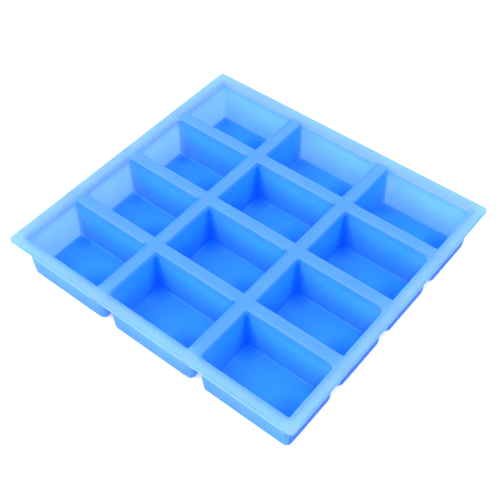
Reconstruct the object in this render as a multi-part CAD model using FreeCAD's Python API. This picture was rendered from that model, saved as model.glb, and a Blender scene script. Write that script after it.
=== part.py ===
"""Silicone soap mould: a tray of 12 open rectangular cavities under one flat rim.

The tray is one flexible moulding. It is divided here into its working regions:
a strip of deck for each row of cavities, the wall of each cavity, and the floor
of each cavity. The deck strips bend about the ribs between rows, and each floor
can be pushed up from below to free a bar of soap.

Millimetres. +Z is up, +X runs along the long side of the cavities, +Y across the
rows. The origin is at the centre of the tray on the plane that its cups stand on.
"""
import FreeCAD, Part
import os

# --- Driving dimensions -------------------------------------------------------
COLUMNS = 3                   # cavities along X
ROWS = 4                      # cavities along Y
CAVITY_LENGTH = 80.0          # mouth of a cavity along X
CAVITY_WIDTH = 53.0           # mouth of a cavity along Y
CAVITY_DEPTH = 40.0           # from the deck's top to the cavity floor
RIB = 11.0                    # deck between two neighbouring mouths
RIM = 10.0                    # deck outside the outer mouths
DECK_THICKNESS = 3.0
WALL = 2.5                    # thickness of a cavity wall
FLOOR = 3.0                   # thickness of a cavity floor
DRAFT_INSET = 2.0             # each wall leans in by this much over the cavity's depth

MOUTH_CORNER = 1.2            # upright corners inside a cavity
CUP_CORNER = 4.5              # upright corners outside a cup
MOUTH_ROUND = 1.0             # rounded edge where deck turns down into a cavity
RIM_CORNER = 4.0              # corners of the rim seen from above
RIM_ROUND = 0.8               # rounded outer edges of the rim
FOOT_ROUND = 3.0              # rounded edge round the underside of a cup

FLEX_KERF = 0.9               # slot at the middle of each rib between rows, where the tray bends
FLOOR_BORDER = 4.0            # fixed edge of a cavity floor, which stays with the wall
FLOOR_CLEARANCE = 0.1         # round and under the part of the floor that rises

# --- Derived dimensions -------------------------------------------------------
PITCH_X = CAVITY_LENGTH + RIB
PITCH_Y = CAVITY_WIDTH + RIB
TRAY_LENGTH = COLUMNS * PITCH_X - RIB + 2 * RIM
TRAY_WIDTH = ROWS * PITCH_Y - RIB + 2 * RIM
DECK_TOP = FLOOR + CAVITY_DEPTH
DECK_UNDER = DECK_TOP - DECK_THICKNESS
DRAFT = DRAFT_INSET / CAVITY_DEPTH


def rounded_outline(x, y, length, width, radius, z):
    """Closed wire of a rectangle with arc corners, centred on (x, y) at height z."""
    half_l = length / 2
    half_w = width / 2
    vec = FreeCAD.Vector
    lean = radius * (1 - 2 ** -0.5)
    edges = []
    corners = [(1, -1), (1, 1), (-1, 1), (-1, -1)]
    for index, (side_x, side_y) in enumerate(corners):
        before = vec(x + side_x * half_l, y + side_y * (half_w - radius), z)
        after = vec(x + side_x * (half_l - radius), y + side_y * half_w, z)
        if side_x * side_y < 0:
            before, after = after, before
        middle = vec(x + side_x * (half_l - lean), y + side_y * (half_w - lean), z)
        if index:
            edges.append(Part.makeLine(end, before))
        else:
            first = before
        edges.append(Part.Arc(before, middle, after).toShape())
        end = after
    edges.append(Part.makeLine(end, first))
    return Part.Wire(edges)


def tapered_block(x, y, low, high):
    """Solid between two rounded outlines. low and high are (length, width, radius, z)."""
    wires = [rounded_outline(x, y, *low), rounded_outline(x, y, *high)]
    return Part.makeLoft(wires, True, True)


def straight_block(x, y, length, width, radius, z, height):
    """Upright solid on a rounded outline."""
    face = Part.Face(rounded_outline(x, y, length, width, radius, z))
    return face.extrude(FreeCAD.Vector(0, 0, height))


def cavity_section(z, grow=0.0, radius=MOUTH_CORNER):
    """Outline of a cavity at height z, grown outwards all round."""
    change = 2 * (grow - DRAFT * (DECK_TOP - z))
    return (CAVITY_LENGTH + change, CAVITY_WIDTH + change, radius, z)


def round_edges(shape, radius, wanted):
    """Fillet the edges that the function wanted picks out."""
    edges = [edge for edge in shape.Edges if wanted(edge)]
    return shape.makeFillet(radius, edges)


def lies_at(edge, z):
    """True where the whole edge is at height z."""
    box = edge.BoundBox
    return abs(box.ZMin - z) < 1e-6 and abs(box.ZMax - z) < 1e-6


def column_x(column):
    return (column - (COLUMNS - 1) / 2) * PITCH_X


def row_y(row):
    return (row - (ROWS - 1) / 2) * PITCH_Y


# --- Regions of the tray ------------------------------------------------------
def make_deck():
    """The whole flat top: rim and ribs, with 12 mouths, before it is split into rows."""
    deck = straight_block(0, 0, TRAY_LENGTH, TRAY_WIDTH, RIM_CORNER, DECK_UNDER, DECK_THICKNESS)
    deck = round_edges(deck, RIM_ROUND, lambda edge: lies_at(edge, DECK_TOP) or lies_at(edge, DECK_UNDER))
    mouths = []
    for row in range(ROWS):
        for column in range(COLUMNS):
            x = column_x(column)
            y = row_y(row)
            mouths.append(tapered_block(x, y, cavity_section(DECK_UNDER), cavity_section(DECK_TOP)))
    deck = deck.cut(mouths)

    def is_mouth_edge(edge):
        box = edge.BoundBox
        inside_x = max(abs(box.XMin), abs(box.XMax)) < TRAY_LENGTH / 2 - RIM + 0.01
        inside_y = max(abs(box.YMin), abs(box.YMax)) < TRAY_WIDTH / 2 - RIM + 0.01
        return lies_at(edge, DECK_TOP) and inside_x and inside_y

    return round_edges(deck, MOUTH_ROUND, is_mouth_edge)


def deck_strip(deck, row):
    """One row's part of the deck, cut at the middle of the ribs on either side."""
    low_y = row_y(row) - PITCH_Y / 2 + FLEX_KERF / 2
    high_y = row_y(row) + PITCH_Y / 2 - FLEX_KERF / 2
    if row == 0:
        low_y = -TRAY_WIDTH
    if row == ROWS - 1:
        high_y = TRAY_WIDTH
    corner = FreeCAD.Vector(-TRAY_LENGTH, low_y, DECK_UNDER - 1)
    keep = Part.makeBox(2 * TRAY_LENGTH, high_y - low_y, DECK_THICKNESS + 2, corner)
    return deck.common(keep)


def floor_opening():
    """Length, width and corner radius of the hole that the rising floor fills."""
    length, width, radius, _ = cavity_section(FLOOR)
    return (length - 2 * FLOOR_BORDER, width - 2 * FLOOR_BORDER, radius)


def make_cavity_wall(x, y):
    """Tapered side walls of one cup, with the foot ring that it stands on."""
    cup = tapered_block(x, y, cavity_section(0, WALL, CUP_CORNER), cavity_section(DECK_UNDER, WALL, CUP_CORNER))
    cup = round_edges(cup, FOOT_ROUND, lambda edge: lies_at(edge, 0))
    hollow = tapered_block(x, y, cavity_section(FLOOR), cavity_section(DECK_UNDER))
    length, width, radius = floor_opening()
    hole = straight_block(x, y, length, width, radius, -1, FLOOR + 2)
    return cup.cut([hollow, hole])


def make_cavity_floor(x, y):
    """The part of a cavity's floor that can be pushed up."""
    length, width, radius = floor_opening()
    gap = 2 * FLOOR_CLEARANCE
    height = FLOOR - FLOOR_CLEARANCE
    return straight_block(x, y, length - gap, width - gap, radius, FLOOR_CLEARANCE, height)


def save(shape, name):
    """Write one region, which has to be a single sound solid."""
    solids = shape.Solids
    if len(solids) != 1 or not solids[0].isValid():
        raise RuntimeError(name + " is not one valid solid")
    solids[0].exportStep("parts/" + name + ".step")


def main():
    os.makedirs("parts", exist_ok=True)
    deck = make_deck()
    for row in range(ROWS):
        save(deck_strip(deck, row), "deck_row_%d" % (row + 1))
        for column in range(COLUMNS):
            place = "r%d_c%d" % (row + 1, column + 1)
            x = column_x(column)
            y = row_y(row)
            save(make_cavity_wall(x, y), "cavity_wall_" + place)
            save(make_cavity_floor(x, y), "cavity_floor_" + place)


main()
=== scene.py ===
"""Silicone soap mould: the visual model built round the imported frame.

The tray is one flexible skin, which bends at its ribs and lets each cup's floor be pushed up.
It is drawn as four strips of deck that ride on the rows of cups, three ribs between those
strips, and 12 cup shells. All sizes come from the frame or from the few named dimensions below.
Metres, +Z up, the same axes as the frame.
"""
import math
import bmesh
import bpy
from mathutils import Matrix, Vector


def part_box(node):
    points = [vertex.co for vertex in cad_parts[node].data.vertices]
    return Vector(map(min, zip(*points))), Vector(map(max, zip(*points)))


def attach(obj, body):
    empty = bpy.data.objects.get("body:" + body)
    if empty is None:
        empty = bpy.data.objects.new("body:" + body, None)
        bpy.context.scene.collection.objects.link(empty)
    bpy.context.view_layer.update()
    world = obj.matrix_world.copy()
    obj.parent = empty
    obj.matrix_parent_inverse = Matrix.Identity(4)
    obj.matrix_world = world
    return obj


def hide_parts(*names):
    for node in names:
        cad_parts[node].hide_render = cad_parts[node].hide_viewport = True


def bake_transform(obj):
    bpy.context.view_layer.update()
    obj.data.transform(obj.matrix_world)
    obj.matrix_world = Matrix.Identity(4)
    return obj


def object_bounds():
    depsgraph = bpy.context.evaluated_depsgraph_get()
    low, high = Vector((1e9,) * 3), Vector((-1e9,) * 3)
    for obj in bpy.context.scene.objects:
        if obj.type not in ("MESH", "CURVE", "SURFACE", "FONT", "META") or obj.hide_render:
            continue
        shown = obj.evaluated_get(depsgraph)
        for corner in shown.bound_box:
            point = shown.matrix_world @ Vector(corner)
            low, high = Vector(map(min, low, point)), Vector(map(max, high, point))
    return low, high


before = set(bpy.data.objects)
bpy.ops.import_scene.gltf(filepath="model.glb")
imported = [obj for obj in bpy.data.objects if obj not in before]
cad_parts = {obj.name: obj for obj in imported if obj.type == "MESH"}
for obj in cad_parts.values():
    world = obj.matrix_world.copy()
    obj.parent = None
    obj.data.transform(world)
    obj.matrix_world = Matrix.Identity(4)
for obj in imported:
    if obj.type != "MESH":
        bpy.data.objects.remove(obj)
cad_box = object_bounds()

MM = 0.001
ROWS = 4
COLUMNS = 3

# --- Dimensions of the skin that the frame's boxes do not show ------------------
WALL = 2.5 * MM                # thickness of a cup's wall
DRAFT = 0.05                   # lean of a wall, metres sideways per metre of height
MOUTH_CORNER = 1.2 * MM        # upright corner inside a cavity
CUP_CORNER = 4.5 * MM          # upright corner outside a cup
LIP = 1.0 * MM                 # round where the deck turns down into a cavity
RIM_CORNER = 4.0 * MM          # corner of the rim seen from above
RIM_ROUND = 0.8 * MM           # round along the rim's outer edge
FLOOR_FILLET = 1.0 * MM        # fillet where a cavity's wall meets its floor
FOOT_ROUND = 3.0 * MM          # round along a cup's underside
FOOT_CORNER = 1.5 * MM         # least corner radius on a cup's underside
FLEX_HALF = 3.0 * MM           # half width of the part of a rib that bends

# --- How finely the skin is divided ---------------------------------------------
ARC_STEPS = 6                  # segments in each quarter round of an outline, even
CUP_STEPS = 5                  # bands round a cup's foot, round its lip and down its inside
OUTSIDE_STEPS = 4              # bands up the outside of a cup
FILLET_STEPS = 3               # bands round the fillet of a cavity floor
EDGE_STEPS = 4                 # bands in each half of the rim's rounded edge
FLEX_STEPS = 10                # segments across a rib that bends
SHARP_DEGREES = 40             # edges that turn by more than this stay crisp
SHADING_WEIGHT = 80            # how far large faces outweigh small ones in the smooth shading
MERGE_DISTANCE = 1e-6
REST_PLACE = "rest_place"      # mesh attribute that the materials read

# --- Sizes read from the frame --------------------------------------------------
deck_low, deck_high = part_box("deck_row_1")
DECK_TOP = deck_high[2]
DECK_UNDER = deck_low[2]
HALF_LENGTH = (cad_box[1][0] - cad_box[0][0]) / 2
HALF_WIDTH = (cad_box[1][1] - cad_box[0][1]) / 2
FLOOR_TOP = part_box("cavity_floor_r1_c1")[1][2]
DEPTH = DECK_TOP - FLOOR_TOP


def cup_box(row, column):
    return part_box("cavity_wall_r%d_c%d" % (row + 1, column + 1))


def cup_centre(row, column):
    low, high = cup_box(row, column)
    return ((low[0] + high[0]) / 2, (low[1] + high[1]) / 2)


cup_low, cup_high = cup_box(0, 0)
UNDER_LEAN = DRAFT * (DECK_TOP - DECK_UNDER)
MOUTH_HALF = ((cup_high[0] - cup_low[0]) / 2 - WALL + UNDER_LEAN,
              (cup_high[1] - cup_low[1]) / 2 - WALL + UNDER_LEAN)
ROW_Y = [cup_centre(row, 0)[1] for row in range(ROWS)]
COLUMN_X = [cup_centre(0, column)[0] for column in range(COLUMNS)]
PITCH_X = COLUMN_X[1] - COLUMN_X[0]
PITCH_Y = ROW_Y[1] - ROW_Y[0]
SEAM_Y = [(ROW_Y[row] + ROW_Y[row + 1]) / 2 for row in range(ROWS - 1)]
SEAM_X = [(COLUMN_X[column] + COLUMN_X[column + 1]) / 2 for column in range(COLUMNS - 1)]
RIM_WIDTH = HALF_LENGTH - COLUMN_X[-1] - MOUTH_HALF[0]

# --- Colours of the silicone (linear) -------------------------------------------
LIT_RIM_COLOUR = (0.110, 0.251, 1.0)        # painted light: top of the free flange, paler as light comes up through it
RIB_COLOUR = (0.059, 0.215, 1.0)        # deck over the cups
UPPER_COLOUR = (0.014, 0.245, 1.0)      # cavity wall just under the deck
MIDDLE_COLOUR = (0.033, 0.386, 1.0)     # cavity wall a little further down
DEEP_COLOUR = (0.034, 0.335, 1.0)       # cavity wall at its foot, and the floor
LIT_LIP_COLOUR = (0.22, 0.42, 1.0)          # painted light: upright part of the lips along the rim, paler as light comes through the outer walls
OUTSIDE_COLOUR = (0.056, 0.200, 1.0)    # outside and underside of the cups
THROUGH_COLOUR = (0.577, 0.755, 1.0)    # light that comes through the skin
THROUGH_SHARE = 0.422
SHINE = 0.08
ROUGHNESS = (0.38, 0.52)                # least and most

# --- Tints of painted light and shade, which multiply those colours -------------
NO_TINT = (1.0, 1.0, 1.0)
CORNER_SHADE_TINT = (0.030, 0.524, 1.0)       # painted shade in the corners of a cavity, reaching further out toward the floor
LIT_LONG_WALL_TINT = (1.22, 1.0, 1.0)       # painted light: inner walls along X lighter
SHADED_SHORT_WALL_TINT = (0.72, 1.0, 1.0)      # painted shade: inner walls along Y darker
SHADED_RIGHT_LIP_TINT = (0.52, 0.72, 1.0)      # painted shade on the lips of the inner ribs that face left
SHADED_NEAR_LIP_TINT = (0.76, 0.88, 1.0)       # painted shade on the lips of the inner ribs that face away from the front
LIT_LEFT_LIP_TINT = (1.06, 1.28, 1.0)       # painted light on the upright part of the lips that face right
FILLET_HIGHLIGHT_TINT = (1.4, 1.08, 1.0)          # painted highlight along the fillet between wall and floor
EDGE_SHADE_TINT = (1.0, 0.91, 1.0)            # painted shade on the rounded and upright edge of the flange, toning down the light it catches
SHADED_SIDE_TINT = (0.35, 0.62, 1.0)    # outside of the cups along the right side
SHADED_FLOOR_TINT = (0.26, 0.60, 1.0)   # floor where a corner of the mouth shades it
BACKLIT_TOP_TINT = (1.12, 1.0, 1.0)     # outer walls, seen against the light, just under the rim
BACKLIT_FOOT_TINT = (0.86, 0.96, 1.0)   # and at their foot

# --- Where those colours and tints lie ------------------------------------------
UPPER_END = 10 * MM                     # below the deck's top, end of the upper colour
CORNER_REACH = (1.5 * MM, 17 * MM)      # out of a corner, at the mouth and at the floor
SHADE_REACH = 22 * MM                   # across a floor, out of its shaded corner
RIGHT_LIP_REACH = 3.5 * MM              # over the deck, out of the mouth
NEAR_LIP_REACH = 3.0 * MM
CLOUDS = {"scale": 28, "detail": 3}     # slight clouding of every colour
CLOUD_SPREAD = (0.3, 0.7)               # the part of that noise that shows
CLOUD_RANGE = (0.96, 1.04)              # and what it multiplies the colours by
GRAIN = {"scale": 1800, "strength": 0.10, "distance": 0.1 * MM}
WAVES = {"scale": 55, "strength": 0.12, "distance": 1.0 * MM}

# Each fade runs from the place where a region starts to show to where it shows in full.
# Below the deck's top:
RIB_FADE = (1.2 * MM, 0.2 * MM)
LIP_TOP_FADE = (2 * MM, 1 * MM)         # rounded top of a lip
RIM_LIP_FADE = (0.5 * MM, 1.0 * MM)     # upright part of the lips along the rim
LEFT_LIP_FADE = (0.3 * MM, 0.9 * MM)    # upright part of the lips that face right
LEFT_LIP_END = (6 * MM, 3 * MM)
WALL_FADE = (1 * MM, 3 * MM)
CORNER_FADE = (1 * MM, 8 * MM)
# Above the table:
SKIN_FADE = (FLOOR_TOP / 2 - 0.1 * MM, FLOOR_TOP / 2 + 0.1 * MM)     # within a cavity's floor
OUTSIDE_FADE = (DECK_UNDER, DECK_UNDER - 1 * MM)
EDGE_FADE = (DECK_UNDER - 1 * MM, DECK_UNDER)
RIM_LIP_END = (DECK_UNDER - 2.0 * MM, DECK_UNDER + 0.5 * MM)
WALL_END = (FLOOR_TOP, FLOOR_TOP + 1.5 * MM)
FILLET_FADE = (FLOOR_TOP + 1.2 * MM, FLOOR_TOP + 0.8 * MM)
FLOOR_FADE = (FLOOR_TOP + 0.8 * MM, FLOOR_TOP + 0.2 * MM)
# Past the tray's edge, so negative on the tray:
FLANGE_FADE = (-RIM_WIDTH, -RIM_WIDTH + WALL)
MOUTH_FADE = (-RIM_WIDTH - 0.4 * MM, -RIM_WIDTH + 0.1 * MM)
RIM_WALL_FADE = (-RIM_WIDTH - 3 * MM, -RIM_WIDTH - 2.5 * MM)         # outer walls and their lips
CORNER_RIM_FADE = (-RIM_WIDTH - 2 * MM, -RIM_WIDTH - 12 * MM)
ROUNDED_FADE = (-0.9 * MM, -0.3 * MM)                                # rounded edge of the rim
# Out of a cavity through its wall, so negative in the silicone:
WALL_MIDDLE = (-0.64 * WALL, -0.4 * WALL)
FILLET_WIDTH = (1.4 * MM, 0.6 * MM)
LEFT_LIP_WIDTH = (1.5 * MM, 0.5 * MM)
LIP_WIDTH = (3 * MM, 2 * MM)
LIP_CREST = -0.3 * MM
LIP_SPAN = (-2.5 * MM, 0.0)
# Out of the centre of a cup's corner:
CUP_EDGE = (CUP_CORNER - 0.1 * MM, CUP_CORNER + 0.5 * MM)
# Nearer to a wall along X than to one along Y:
SIDE_CHANGE = (-1 * MM, 1 * MM)

# --- Studio light ---------------------------------------------------------------
SKY_HORIZON = 3.307
SKY_OVERHEAD = 2.485
SKY_TOP = 0.9                           # height of a direction that counts as overhead
SKY_LEFT = 0.532                        # how much brighter it is to the camera's left
SKY_BEHIND = -0.400                     # the same behind the camera, where it is darker
LAMP_PLACE = (0.315, -0.389, 0.594)     # of an imagined lamp, for the tint on the cavity floors
SOFT_BOXES = {                          # direction, tightness and strength of each
    "behind_camera": ((0.41, -0.51, 0.76), 16.0, 3.89),
    "far_left": ((-0.6, 0.4, 0.5), 6.0, 0.34),
}
STUDIO_HALF = 6.0                       # half the width of the studio floor
STUDIO_WHITE = (0.9405, 0.95)           # least and most

# --- Camera ---------------------------------------------------------------------
CAMERA_AZIMUTH = 39.14                  # degrees
CAMERA_ELEVATION = 49.34
CAMERA_ROLL = -0.52
CAMERA_DISTANCE = 0.726
CAMERA_TARGET = (0.0168, -0.0225, DECK_TOP)
CAMERA_LENS = 66.9
CAMERA_SENSOR = 36


# --- Mesh helpers ---------------------------------------------------------------
CORNER_SIDES = [(-1, -1), (1, -1), (1, 1), (-1, 1)]


def quarter(steps, index):
    """Sine and cosine of a step along a quarter turn."""
    angle = math.pi / 2 * index / steps
    return math.sin(angle), math.cos(angle)


def outline(centre, half, radius):
    """Points of a rectangle with arc corners, counter-clockwise from the -X -Y corner."""
    points = []
    for corner, (side_x, side_y) in enumerate(CORNER_SIDES):
        hub_x = centre[0] + side_x * (half[0] - radius)
        hub_y = centre[1] + side_y * (half[1] - radius)
        for index in range(ARC_STEPS + 1):
            angle = math.pi * (1 + corner / 2) + math.pi / 2 * index / ARC_STEPS
            points.append((hub_x + radius * math.cos(angle), hub_y + radius * math.sin(angle)))
    return points


class MeshBuilder:
    """Collects vertices and faces, then makes one smooth-shaded object."""

    def __init__(self):
        self.verts = []
        self.faces = []

    def loop(self, places):
        """Adds a closed loop of vertices and returns their numbers."""
        start = len(self.verts)
        self.verts.extend(places)
        return list(range(start, len(self.verts)))

    def ring(self, points, z):
        """A level loop at height z."""
        return self.loop([(x, y, z) for x, y in points])

    def band(self, lower, upper):
        """Quads between two loops, facing out where upper lies above lower."""
        count = len(lower)
        for i in range(count):
            j = (i + 1) % count
            self.faces.append((lower[i], lower[j], upper[j], upper[i]))

    def cap(self, loop, up):
        self.faces.append(tuple(loop) if up else tuple(reversed(loop)))

    def build(self, name, material):
        mesh = bpy.data.meshes.new(name)
        mesh.from_pydata(self.verts, [], self.faces)
        mesh.validate()
        merge_doubles(mesh)
        keep_rest_place(mesh)
        mesh.polygons.foreach_set("use_smooth", [True] * len(mesh.polygons))
        mesh.set_sharp_from_angle(angle=math.radians(SHARP_DEGREES))
        mesh.materials.append(material)
        piece = bpy.data.objects.new(name, mesh)
        bpy.context.scene.collection.objects.link(piece)
        weighted = piece.modifiers.new("even_shading", "WEIGHTED_NORMAL")
        weighted.keep_sharp = True
        weighted.weight = SHADING_WEIGHT
        return piece


def merge_doubles(mesh):
    work = bmesh.new()
    work.from_mesh(mesh)
    bmesh.ops.remove_doubles(work, verts=work.verts, dist=MERGE_DISTANCE)
    bmesh.ops.recalc_face_normals(work, faces=work.faces)
    work.to_mesh(mesh)
    work.free()


def keep_rest_place(mesh):
    """Stores where each vertex lies at rest, so that the colours stay put when the tray bends."""
    places = mesh.attributes.new(REST_PLACE, "FLOAT_VECTOR", "POINT")
    for vertex, place in zip(mesh.vertices, places.data):
        place.vector = vertex.co


# --- Cups -----------------------------------------------------------------------
def cavity_half(z, grow=0.0):
    """Half length and half width of a cavity at height z, grown outwards all round."""
    lean = grow - DRAFT * (DECK_TOP - z)
    return (MOUTH_HALF[0] + lean, MOUTH_HALF[1] + lean)


CUP_TOP_HALF = cavity_half(DECK_UNDER, WALL)


def outside_sections():
    """(half sizes, corner radius, height) up the outside of a cup, from its underside."""
    sections = []
    for index in range(CUP_STEPS + 1):
        rise, run = quarter(CUP_STEPS, index)
        z = FOOT_ROUND * (1 - run)
        inset = FOOT_ROUND * (1 - rise)
        corner = max(CUP_CORNER - inset, FOOT_CORNER)
        sections.append((cavity_half(z, WALL - inset), corner, z))
    for index in range(1, OUTSIDE_STEPS + 1):
        z = FOOT_ROUND + (DECK_UNDER - FOOT_ROUND) * index / OUTSIDE_STEPS
        sections.append((cavity_half(z, WALL), CUP_CORNER, z))
    sections.append((CUP_TOP_HALF, CUP_CORNER, DECK_TOP))
    return sections


def lip_sections():
    """The same from the deck's top round the lip."""
    sections = [(cavity_half(DECK_TOP, LIP), MOUTH_CORNER + LIP, DECK_TOP)]
    for index in range(1, CUP_STEPS + 1):
        rise, run = quarter(CUP_STEPS, index)
        z = DECK_TOP - LIP * (1 - run)
        grow = LIP * (1 - rise)
        sections.append((cavity_half(z, grow), MOUTH_CORNER + grow, z))
    return sections


def inside_sections():
    """The same down the inside of a cavity and round the fillet of its floor."""
    sections = []
    wall_top = DECK_TOP - LIP
    wall_foot = FLOOR_TOP + FLOOR_FILLET
    for index in range(1, CUP_STEPS + 1):
        z = wall_top + (wall_foot - wall_top) * index / CUP_STEPS
        sections.append((cavity_half(z), MOUTH_CORNER, z))
    for index in range(1, FILLET_STEPS + 1):
        rise, run = quarter(FILLET_STEPS, index)
        z = FLOOR_TOP + FLOOR_FILLET * (1 - rise)
        inset = FLOOR_FILLET * (1 - run)
        sections.append((cavity_half(z, -inset), MOUTH_CORNER - inset, z))
    return sections


def make_cup(row, column, material):
    """Closed shell of one cup, up through the deck: outside, lip and cavity in one skin."""
    centre = cup_centre(row, column)
    mesh = MeshBuilder()
    sections = outside_sections() + lip_sections() + inside_sections()
    rings = [mesh.ring(outline(centre, half, corner), z) for half, corner, z in sections]
    for lower, upper in zip(rings, rings[1:]):
        mesh.band(lower, upper)
    mesh.cap(rings[0], up=False)
    mesh.cap(rings[-1], up=True)
    place = "r%d_c%d" % (row + 1, column + 1)
    cup = mesh.build("cup_" + place, material)
    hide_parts("cavity_wall_" + place, "cavity_floor_" + place)
    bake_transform(cup)


# --- Deck -----------------------------------------------------------------------
def rim_profile():
    """(inset from the rim's outline, height) down the rim's outer edge."""
    profile = []
    for index in range(EDGE_STEPS + 1):
        rise, run = quarter(EDGE_STEPS, index)
        profile.append((RIM_ROUND * (1 - rise), DECK_TOP - RIM_ROUND * (1 - run)))
    for index in range(EDGE_STEPS + 1):
        rise, run = quarter(EDGE_STEPS, index)
        profile.append((RIM_ROUND * (1 - run), DECK_UNDER + RIM_ROUND * (1 - rise)))
    return profile


def rounded_corner(corner, side_x, side_y):
    """Border points round one of the tray's own four corners."""
    points = []
    for index in range(ARC_STEPS + 1):
        share_x, share_y = quarter(ARC_STEPS, index)
        if side_x * side_y > 0:
            share_x, share_y = share_y, share_x
        x = corner[0] - side_x * RIM_CORNER * (1 - share_x)
        y = corner[1] - side_y * RIM_CORNER * (1 - share_y)
        points.append((x, y, side_x * share_x, side_y * share_y))
    return points


def square_corner(corner, hub, out_x, out_y):
    """Border points from beside a hole's corner arc, out to a square corner and back beside it.

    hub is the centre of that arc. out_x and out_y are the outward direction on the sides that
    are the rim's edge, and 0 on the sides that are cuts.
    """
    points = []
    along_x_first = (corner[0] - hub[0]) * (corner[1] - hub[1]) < 0
    for index in range(ARC_STEPS + 1):
        rising = min(1.0, 2 * index / ARC_STEPS)
        falling = min(1.0, 2 - 2 * index / ARC_STEPS)
        to_x, to_y = (rising, falling) if along_x_first else (falling, rising)
        x = hub[0] + (corner[0] - hub[0]) * to_x
        y = hub[1] + (corner[1] - hub[1]) * to_y
        points.append((x, y, out_x if to_x == 1.0 else 0, out_y if to_y == 1.0 else 0))
    return points


def cell_border(row, column):
    """Border of one cell of deck as (x, y, outward x, outward y), matched to its hole's points.

    The outward part is zero where the border is a cut and not the rim's edge.
    """
    centre = cup_centre(row, column)
    low = (SEAM_X[column - 1] if column else -HALF_LENGTH,
           SEAM_Y[row - 1] + FLEX_HALF if row else -HALF_WIDTH)
    high = (SEAM_X[column] if column < COLUMNS - 1 else HALF_LENGTH,
            SEAM_Y[row] - FLEX_HALF if row < ROWS - 1 else HALF_WIDTH)
    border = []
    for side_x, side_y in CORNER_SIDES:
        corner = (high[0] if side_x > 0 else low[0], high[1] if side_y > 0 else low[1])
        rim_x = column == (COLUMNS - 1 if side_x > 0 else 0)
        rim_y = row == (ROWS - 1 if side_y > 0 else 0)
        if rim_x and rim_y:
            border += rounded_corner(corner, side_x, side_y)
        else:
            hub = (centre[0] + side_x * (CUP_TOP_HALF[0] - CUP_CORNER),
                   centre[1] + side_y * (CUP_TOP_HALF[1] - CUP_CORNER))
            border += square_corner(corner, hub, side_x if rim_x else 0, side_y if rim_y else 0)
    return border


def lies_on_seam_x(first, second):
    """True where this piece of a cell's border only divides two cells of one strip."""
    middle_x = (first[0] + second[0]) / 2
    return any(abs(middle_x - seam) < MERGE_DISTANCE for seam in SEAM_X)


def add_deck_cell(mesh, row, column):
    """Deck round one cup: top, underside, the hole's wall, and the rim's edge or the cut's face."""
    hole = outline(cup_centre(row, column), CUP_TOP_HALF, CUP_CORNER)
    hole_top = mesh.ring(hole, DECK_TOP)
    hole_under = mesh.ring(hole, DECK_UNDER)
    border = cell_border(row, column)
    levels = []
    for inset, z in rim_profile():
        points = [(x - out_x * inset, y - out_y * inset) for x, y, out_x, out_y in border]
        levels.append(mesh.ring(points, z))
    mesh.band(levels[0], hole_top)
    mesh.band(hole_under, levels[-1])
    mesh.band(hole_top, hole_under)
    count = len(border)
    for i in range(count):
        j = (i + 1) % count
        if lies_on_seam_x(border[i], border[j]):
            continue
        for upper, lower in zip(levels, levels[1:]):
            mesh.faces.append((lower[i], lower[j], upper[j], upper[i]))


def make_deck_row(row, material):
    """One strip of deck with a hole for each of its three cups, and its part of the rim."""
    mesh = MeshBuilder()
    for column in range(COLUMNS):
        add_deck_cell(mesh, row, column)
    name = "row_%d" % (row + 1)
    deck = mesh.build("tray_top_" + name, material)
    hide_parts("deck_" + name)
    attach(deck, name)


def make_flex_rib(row, material):
    """The strip of deck that bends between this row and the next, from rim to rim."""
    mesh = MeshBuilder()
    profile = rim_profile()
    across = [(inset - HALF_LENGTH, z) for inset, z in profile]
    across += [(HALF_LENGTH - inset, z) for inset, z in reversed(profile)]
    near_y = SEAM_Y[row] - FLEX_HALF
    loops = []
    for step in range(FLEX_STEPS + 1):
        y = near_y + 2 * FLEX_HALF * step / FLEX_STEPS
        loops.append(mesh.loop([(x, y, z) for x, z in across]))
    for near, far in zip(loops, loops[1:]):
        mesh.band(near, far)
    mesh.cap(loops[0], up=True)
    mesh.cap(loops[-1], up=False)
    rib = mesh.build("flex_rib_%d_%d" % (row + 1, row + 2), material)
    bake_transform(rib)


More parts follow.
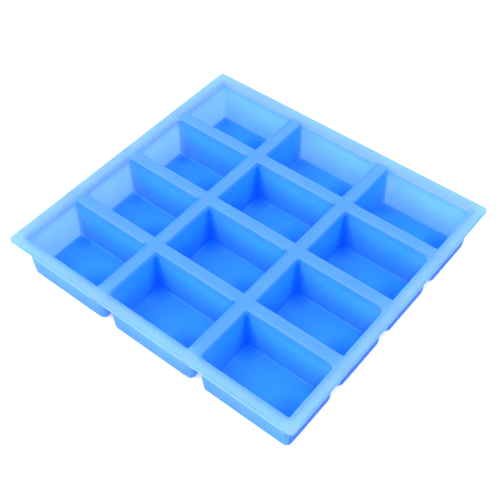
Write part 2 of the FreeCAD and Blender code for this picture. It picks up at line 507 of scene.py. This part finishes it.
# --- Materials ------------------------------------------------------------------
class Graph:
    """A node graph, with short ways to add the nodes that the scene uses."""

    def __init__(self, tree):
        self.nodes = tree.nodes
        self.links = tree.links

    def add(self, kind, **inputs):
        """Adds a node and feeds its inputs. An underscore stands for a space in an input's name."""
        node = self.nodes.new("ShaderNode" + kind)
        for name, value in inputs.items():
            self.feed(node.inputs[name.replace("_", " ")], value)
        return node

    def feed(self, socket, value):
        """Gives an input another node's output, a number, a direction or a colour."""
        if isinstance(value, bpy.types.NodeSocket):
            self.links.new(value, socket)
        elif socket.type == "RGBA":
            socket.default_value = (*value, 1)
        else:
            socket.default_value = value

    def math(self, operation, *values):
        node = self.add("Math")
        node.operation = operation
        for socket, value in zip(node.inputs, values):
            self.feed(socket, value)
        return node.outputs[0]

    def vector(self, operation, first, second):
        node = self.add("VectorMath")
        node.operation = operation
        self.feed(node.inputs[0], first)
        self.feed(node.inputs["Scale" if operation == "SCALE" else 1], second)
        return node.outputs["Value" if operation == "DOT_PRODUCT" else "Vector"]

    def product(self, first, *others):
        for other in others:
            first = self.math("MULTIPLY", first, other)
        return first

    def inverse(self, value):
        return self.math("SUBTRACT", 1.0, value)

    def length(self, a, b):
        """Length of the vector (a, b), where a part below zero counts as zero."""
        a = self.math("MAXIMUM", a, 0.0)
        b = self.math("MAXIMUM", b, 0.0)
        return self.math("SQRT", self.math("ADD", self.product(a, a), self.product(b, b)))

    def ramp(self, value, low, high, to_low=0.0, to_high=1.0, smooth=False):
        """Value moved from the range low..high to the range to_low..to_high, clamped."""
        node = self.add("MapRange", Value=value, From_Min=low, From_Max=high, To_Min=to_low, To_Max=to_high)
        if smooth:
            node.interpolation_type = "SMOOTHSTEP"
        return node.outputs["Result"]

    def mix(self, factor, first, second):
        """Colour that runs from first to second as factor goes from 0 to 1."""
        node = self.add("Mix")
        node.data_type = "RGBA"
        node.clamp_factor = True
        self.feed(node.inputs["Factor"], factor)
        self.feed(node.inputs["A"], first)
        self.feed(node.inputs["B"], second)
        return node.outputs["Result"]

    def noise(self, place, scale, detail=2.0):
        return self.add("TexNoise", Vector=place, Scale=scale, Detail=detail).outputs["Fac"]

    def noise_bump(self, place, scale, strength, distance, **normal):
        """Normals of a bumpy surface, laid over the normals that are given, if any."""
        height = self.noise(place, scale)
        node = self.add("Bump", Height=height, Strength=strength, Distance=distance, **normal)
        return node.outputs["Normal"]


class TraySkin(Graph):
    """Finds where each point of the tray lies, and gives it its colour from that.

    Each region is a value that is 1 on its part of the skin and 0 elsewhere.
    """

    def __init__(self, tree):
        super().__init__(tree)
        rest = self.add("Attribute")
        rest.attribute_name = REST_PLACE
        self.place = rest.outputs["Vector"]
        self.x, self.y, self.z = self.add("SeparateXYZ", Vector=self.place).outputs
        self.below = self.math("SUBTRACT", DECK_TOP, self.z)
        self.past_edge = self.math("MAXIMUM",
                                   self.math("SUBTRACT", self.math("ABSOLUTE", self.x), HALF_LENGTH),
                                   self.math("SUBTRACT", self.math("ABSOLUTE", self.y), HALF_WIDTH))
        self.find_nearest_cup()
        self.find_sides()
        self.find_rim()
        self.find_walls()
        self.find_lips()
        self.find_shade()

    def from_nearest(self, value, first, pitch):
        """Distance from the nearest of a row of places that are a pitch apart."""
        return self.math("WRAP", self.math("SUBTRACT", value, first), pitch / 2, -pitch / 2)

    def find_nearest_cup(self):
        """Place within the nearest cup, and the gaps from there to that cup's inner walls."""
        self.cup_x = self.from_nearest(self.x, COLUMN_X[0], PITCH_X)
        self.cup_y = self.from_nearest(self.y, ROW_Y[0], PITCH_Y)
        away_x = self.math("ABSOLUTE", self.cup_x)
        away_y = self.math("ABSOLUTE", self.cup_y)
        self.off_cup = self.length(self.math("SUBTRACT", away_x, CUP_TOP_HALF[0] - CUP_CORNER),
                                   self.math("SUBTRACT", away_y, CUP_TOP_HALF[1] - CUP_CORNER))
        lean = self.math("MULTIPLY", self.below, DRAFT)
        self.wall_x = self.math("SUBTRACT", MOUTH_HALF[0], lean)
        self.wall_y = self.math("SUBTRACT", MOUTH_HALF[1], lean)
        self.gap_x = self.math("SUBTRACT", self.wall_x, away_x)
        self.gap_y = self.math("SUBTRACT", self.wall_y, away_y)
        self.nearest_gap = self.math("MINIMUM", self.gap_x, self.gap_y)

    def find_sides(self):
        """The skin that faces into a cavity, and the rest of a cup's skin below the deck."""
        self.inside = self.product(self.ramp(self.nearest_gap, *WALL_MIDDLE),
                                   self.ramp(self.z, *SKIN_FADE))
        self.outside = self.product(self.inverse(self.inside), self.ramp(self.z, *OUTSIDE_FADE))
        right_mouth = HALF_LENGTH - RIM_WIDTH
        self.right_side = self.product(self.outside, self.ramp(self.x, right_mouth - WALL, right_mouth))

    def find_rim(self):
        """The free flange round the cups, its outer edge, and all that lies close to it."""
        self.by_rim = self.ramp(self.past_edge, *RIM_WALL_FADE)
        self.inland = self.inverse(self.by_rim)
        # The flange's paler colour is painted light: light comes up through it, and on the far and left
        # sides through the backlit walls, so there it runs on up to each mouth.
        past_cup = self.product(self.ramp(self.off_cup, *CUP_EDGE),
                                self.ramp(self.past_edge, *FLANGE_FADE))
        past_far_left = self.math("MAXIMUM",
                                  self.math("SUBTRACT", self.y, HALF_WIDTH),
                                  self.math("SUBTRACT", -HALF_LENGTH, self.x))
        lit_up_to_mouth = self.product(self.ramp(past_far_left, *MOUTH_FADE),
                                   self.ramp(self.below, *LIP_TOP_FADE))
        self.flange = self.math("MAXIMUM", past_cup, lit_up_to_mouth)
        # Painted shade on the flange's rounded and upright edge.
        self.edge = self.product(self.ramp(self.past_edge, *ROUNDED_FADE),
                                 self.ramp(self.z, *EDGE_FADE))

    def find_walls(self):
        """Where light and shade are painted on the walls: inner walls clear of the rim, their fillets, the
        backlit outer walls and the corners of each cavity.
        """
        # Painted light and shade on the inner walls: those along X lighter, those along Y darker.
        self.long_side = self.ramp(self.math("SUBTRACT", self.gap_x, self.gap_y), *SIDE_CHANGE)
        inner = self.product(self.inside, self.inland)
        self.wall = self.product(inner,
                                 self.ramp(self.below, *WALL_FADE),
                                 self.ramp(self.z, *WALL_END))
        # Painted highlight along the fillets of the walls along X.
        self.fillet = self.product(self.long_side, inner,
                                   self.ramp(self.nearest_gap, *FILLET_WIDTH),
                                   self.ramp(self.z, *FILLET_FADE))
        self.backlit = self.product(self.by_rim, self.inside, self.ramp(self.below, *WALL_FADE))
        # Painted shade in the corners of each cavity.
        reach = self.ramp(self.below, 0.0, DEPTH, *CORNER_REACH)
        nearness = self.inverse(self.math("DIVIDE", self.length(self.gap_x, self.gap_y), reach))
        self.corner = self.product(self.math("MAXIMUM", nearness, 0.0), self.inside,
                                   self.ramp(self.below, *CORNER_FADE),
                                   self.ramp(self.past_edge, *CORNER_RIM_FADE))

    def lip_band(self, gap, along, reach):
        """Top of the lip on one side of a mouth, fading out over the deck beside it."""
        return self.product(self.ramp(gap, -reach, LIP_CREST),
                            self.ramp(gap, *LIP_WIDTH),
                            self.ramp(along, *LIP_SPAN),
                            self.ramp(self.below, *LIP_TOP_FADE),
                            self.inland)

    def find_lips(self):
        """The lips that carry painted light and shade of their own."""
        # Painted light on the lips along the rim.
        self.lit_rim_lip = self.product(self.by_rim, self.inside,
                                    self.ramp(self.below, *RIM_LIP_FADE),
                                    self.ramp(self.z, *RIM_LIP_END))
        right_gap = self.math("SUBTRACT", self.wall_x, self.cup_x)
        left_gap = self.math("ADD", self.wall_x, self.cup_x)
        near_gap = self.math("ADD", self.wall_y, self.cup_y)
        # Painted shade on the lips at the right and near sides of each mouth, and on the deck beside them.
        self.shaded_right_lip = self.lip_band(right_gap, self.gap_y, RIGHT_LIP_REACH)
        self.shaded_near_lip = self.lip_band(near_gap, self.gap_x, NEAR_LIP_REACH)
        # Painted light on the upright part of the lips at the left side of each mouth.
        self.lit_left_lip = self.product(self.inside,
                                     self.ramp(left_gap, *LEFT_LIP_WIDTH),
                                     self.ramp(self.below, *LEFT_LIP_FADE),
                                     self.ramp(self.below, *LEFT_LIP_END))

    def find_shade(self):
        """The part of each floor that the near right corner of its mouth would hide from a lamp."""
        share = self.math("DIVIDE", self.below, self.math("SUBTRACT", LAMP_PLACE[2], self.z))
        shift_x = self.math("MULTIPLY", self.math("SUBTRACT", LAMP_PLACE[0], self.x), share)
        shift_y = self.math("MULTIPLY", self.math("SUBTRACT", LAMP_PLACE[1], self.y), share)
        from_shade = self.length(self.math("SUBTRACT", MOUTH_HALF[0], self.math("ADD", self.cup_x, shift_x)),
                                 self.math("ADD", MOUTH_HALF[1], self.math("ADD", self.cup_y, shift_y)))
        self.shade = self.product(self.inside,
                                  self.ramp(from_shade, SHADE_REACH, 0.0, smooth=True),
                                  self.ramp(self.z, *FLOOR_FADE))

    def colour(self):
        """Base colour, with painted light on the flange and on the lips along the rim. A later region lies
        over an earlier one.
        """
        colour = self.mix(self.ramp(self.below, UPPER_END, DEPTH), MIDDLE_COLOUR, DEEP_COLOUR)
        colour = self.mix(self.ramp(self.below, RIB_FADE[0], UPPER_END), UPPER_COLOUR, colour)
        colour = self.mix(self.ramp(self.below, *RIB_FADE), colour, RIB_COLOUR)
        colour = self.mix(self.outside, colour, OUTSIDE_COLOUR)
        colour = self.mix(self.flange, colour, LIT_RIM_COLOUR)
        return self.mix(self.lit_rim_lip, colour, LIT_LIP_COLOUR)

    def tint(self):
        """What the colours are multiplied by: painted light and shade. A later region lies over an earlier
        one.
        """
        tint = self.mix(self.corner, NO_TINT, CORNER_SHADE_TINT)
        wall_light_tint = self.mix(self.long_side, SHADED_SHORT_WALL_TINT, LIT_LONG_WALL_TINT)
        tint = self.mix(self.wall, tint, self.vector("MULTIPLY", tint, wall_light_tint))
        tint = self.mix(self.shaded_right_lip, tint, SHADED_RIGHT_LIP_TINT)
        tint = self.mix(self.shaded_near_lip, tint, SHADED_NEAR_LIP_TINT)
        tint = self.mix(self.lit_left_lip, tint, LIT_LEFT_LIP_TINT)
        tint = self.mix(self.fillet, tint, self.vector("MULTIPLY", tint, FILLET_HIGHLIGHT_TINT))
        tint = self.mix(self.edge, tint, EDGE_SHADE_TINT)
        tint = self.mix(self.right_side, tint, SHADED_SIDE_TINT)
        tint = self.mix(self.shade, tint, SHADED_FLOOR_TINT)
        backlit_share = self.ramp(self.below, WALL_FADE[1], DEPTH)
        backlit_tint = self.mix(backlit_share, BACKLIT_TOP_TINT, BACKLIT_FOOT_TINT)
        return self.mix(self.backlit, tint, backlit_tint)


def new_material(name):
    """An empty material and its output node."""
    material = bpy.data.materials.new(name)
    material.use_nodes = True
    material.node_tree.nodes.clear()
    output = material.node_tree.nodes.new("ShaderNodeOutputMaterial")
    return material, output


def silicone(name):
    """Satin translucent silicone, with a fine grain, a faint waviness, and light and shade painted into its
    colours.
    """
    material, output = new_material(name)
    skin = TraySkin(material.node_tree)
    tint = skin.tint()
    cloud = skin.noise(skin.place, **CLOUDS)
    brightness = skin.ramp(cloud, *CLOUD_SPREAD, *CLOUD_RANGE)

    def tinted(colour):
        return skin.vector("SCALE", skin.vector("MULTIPLY", colour, tint), brightness)

    waves = skin.noise_bump(skin.place, **WAVES)
    grain = skin.noise_bump(skin.place, **GRAIN, Normal=waves)
    surface = skin.add("BsdfPrincipled", Base_Color=tinted(skin.colour()), Specular_IOR_Level=SHINE,
                       Roughness=skin.ramp(cloud, 0.0, 1.0, *ROUGHNESS), Normal=grain)
    through = skin.add("BsdfTranslucent", Color=tinted(THROUGH_COLOUR), Normal=grain)
    blend = skin.add("MixShader", Fac=THROUGH_SHARE)
    skin.links.new(surface.outputs[0], blend.inputs[1])
    skin.links.new(through.outputs[0], blend.inputs[2])
    skin.links.new(blend.outputs[0], output.inputs["Surface"])
    return material


def matt_white(name, least, most):
    """Paper white with a slight clouding."""
    material, output = new_material(name)
    graph = Graph(material.node_tree)
    speck = graph.add("TexNoise", Scale=40).outputs["Fac"]
    shade = graph.ramp(speck, 0.0, 1.0, least, most)
    surface = graph.add("BsdfPrincipled", Roughness=0.9, Specular_IOR_Level=0.1)
    graph.links.new(shade, surface.inputs["Base Color"])
    graph.links.new(surface.outputs[0], output.inputs["Surface"])
    return material


# --- Stage, light and camera ----------------------------------------------------
def make_floor():
    mesh = bpy.data.meshes.new("studio_floor")
    corners = [(side_x * STUDIO_HALF, side_y * STUDIO_HALF, 0) for side_x, side_y in CORNER_SIDES]
    mesh.from_pydata(corners, [], [(0, 1, 2, 3)])
    mesh.materials.append(matt_white("studio_white", *STUDIO_WHITE))
    floor = bpy.data.objects.new("studio_floor", mesh)
    bpy.context.scene.collection.objects.link(floor)


def camera_axes():
    """The camera's right, up and backward directions, before it is rolled."""
    azimuth = math.radians(CAMERA_AZIMUTH)
    elevation = math.radians(CAMERA_ELEVATION)
    back = Vector((math.sin(azimuth) * math.cos(elevation),
                   -math.cos(azimuth) * math.cos(elevation),
                   math.sin(elevation)))
    right = Vector((math.cos(azimuth), math.sin(azimuth), 0))
    return right, back.cross(right), back


def make_world():
    """White surroundings: brighter round the horizon than overhead, and brightest to camera left."""
    world = bpy.data.worlds.new("studio_world")
    bpy.context.scene.world = world
    world.use_nodes = True
    graph = Graph(world.node_tree)
    direction = graph.add("TexCoord").outputs["Generated"]
    height = graph.add("SeparateXYZ", Vector=direction).outputs["Z"]
    right, _, back = camera_axes()
    level_back = Vector((back.x, back.y, 0)).normalized()
    sideways = level_back * SKY_BEHIND - right * SKY_LEFT
    lift = graph.math("ADD", graph.vector("DOT_PRODUCT", direction, tuple(sideways)), 1.0)
    strength = graph.product(graph.ramp(height, 0.0, SKY_TOP, SKY_HORIZON, SKY_OVERHEAD), lift)
    for towards, tightness, power in SOFT_BOXES.values():
        facing = graph.vector("DOT_PRODUCT", direction, tuple(Vector(towards).normalized()))
        spread = graph.math("POWER", graph.math("MAXIMUM", facing, 0.0), tightness)
        strength = graph.math("ADD", strength, graph.product(spread, power))
    background = graph.nodes["Background"]
    graph.feed(background.inputs["Color"], (1.0, 1.0, 1.0))
    graph.feed(background.inputs["Strength"], strength)


def make_camera():
    """Camera on an orbit round a point of the deck, rolled slightly about its own view."""
    right, up, back = camera_axes()
    roll = math.radians(CAMERA_ROLL)
    turned_right = right * math.cos(roll) + up * math.sin(roll)
    turned_up = back.cross(turned_right)
    data = bpy.data.cameras.new("camera")
    data.lens = CAMERA_LENS
    data.sensor_width = CAMERA_SENSOR
    data.clip_start = 0.01
    camera = bpy.data.objects.new("camera", data)
    bpy.context.scene.collection.objects.link(camera)
    turn = Matrix((turned_right, turned_up, back)).transposed().to_4x4()
    camera.matrix_world = Matrix.Translation(Vector(CAMERA_TARGET) + back * CAMERA_DISTANCE) @ turn
    bpy.context.scene.camera = camera


# --- Build ----------------------------------------------------------------------
tray_silicone = silicone("tray_silicone")
for row in range(ROWS):
    make_deck_row(row, tray_silicone)
    for column in range(COLUMNS):
        make_cup(row, column, tray_silicone)
for row in range(ROWS - 1):
    make_flex_rib(row, tray_silicone)

make_floor()
make_world()
make_camera()
bpy.context.scene.view_settings.view_transform = "Standard"
